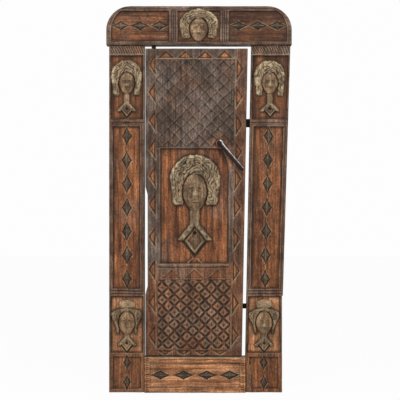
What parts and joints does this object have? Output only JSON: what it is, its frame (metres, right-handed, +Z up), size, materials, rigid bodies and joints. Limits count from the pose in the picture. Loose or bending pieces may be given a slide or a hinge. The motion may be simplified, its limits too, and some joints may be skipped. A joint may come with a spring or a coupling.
{
  "type": "carved wooden temple door with its frame",
  "caption": "Single plank door leaf on wooden pintles in a low carved frame, with masks, lozenges, lattice fields and an iron turn bar.",
  "frame": {"origin": "on the floor under the sill, at the middle of the lintel's width and in the middle plane of the leaf", "axes": "+Z up, -Y out of the carved front, +X to the right seen from the front"},
  "size_m": [0.926, 0.0924, 1.93],
  "materials": {
    "lintel_wood": "weathered carved hardwood, dusty grey-brown patina",
    "left_jamb_wood": "weathered carved hardwood with worn pale highlights",
    "right_jamb_wood": "weathered carved hardwood with reddish panels",
    "sill_wood": "foot-worn warm orange-brown hardwood",
    "peg_wood": "dry split hardwood",
    "leaf_wood": "dark oiled hardwood, grey on the lattice and reddish in the panel",
    "black_iron": "flat black hammered iron",
    "nail_iron": "rusty forged iron",
    "bar_iron": "dark forged iron, rubbed bright on its upper edge"
  },
  "bodies": {
    "frame": {"lintel": "lintel_wood", "left_jamb": "left_jamb_wood", "right_jamb": "right_jamb_wood", "sill": "sill_wood", "lintel_pegs": "peg_wood", "sill_pegs": "peg_wood"},
    "leaf": {"leaf": "leaf_wood", "upper_stop_plate": "black_iron", "lower_stop_plate": "black_iron", "stop_plate_nails": "nail_iron", "bar_rose": "bar_iron", "bar_pin": "bar_iron", "bar_washer": "bar_iron"},
    "turn_bar": {"turn_bar": "bar_iron"}
  },
  "joints": [
    {"name": "leaf_swing", "type": "hinge", "parent": "frame", "child": "leaf", "pos_m": [-0.2275, 0, 0.95], "axis": [0, 0, 1], "range_deg": [0, 110]},
    {"name": "bar_turn", "type": "hinge", "parent": "leaf", "child": "turn_bar", "pos_m": [0.10506, -0.038, 1.246], "axis": [0, -1, 0], "range_deg": [-28, 52]}
  ]
}
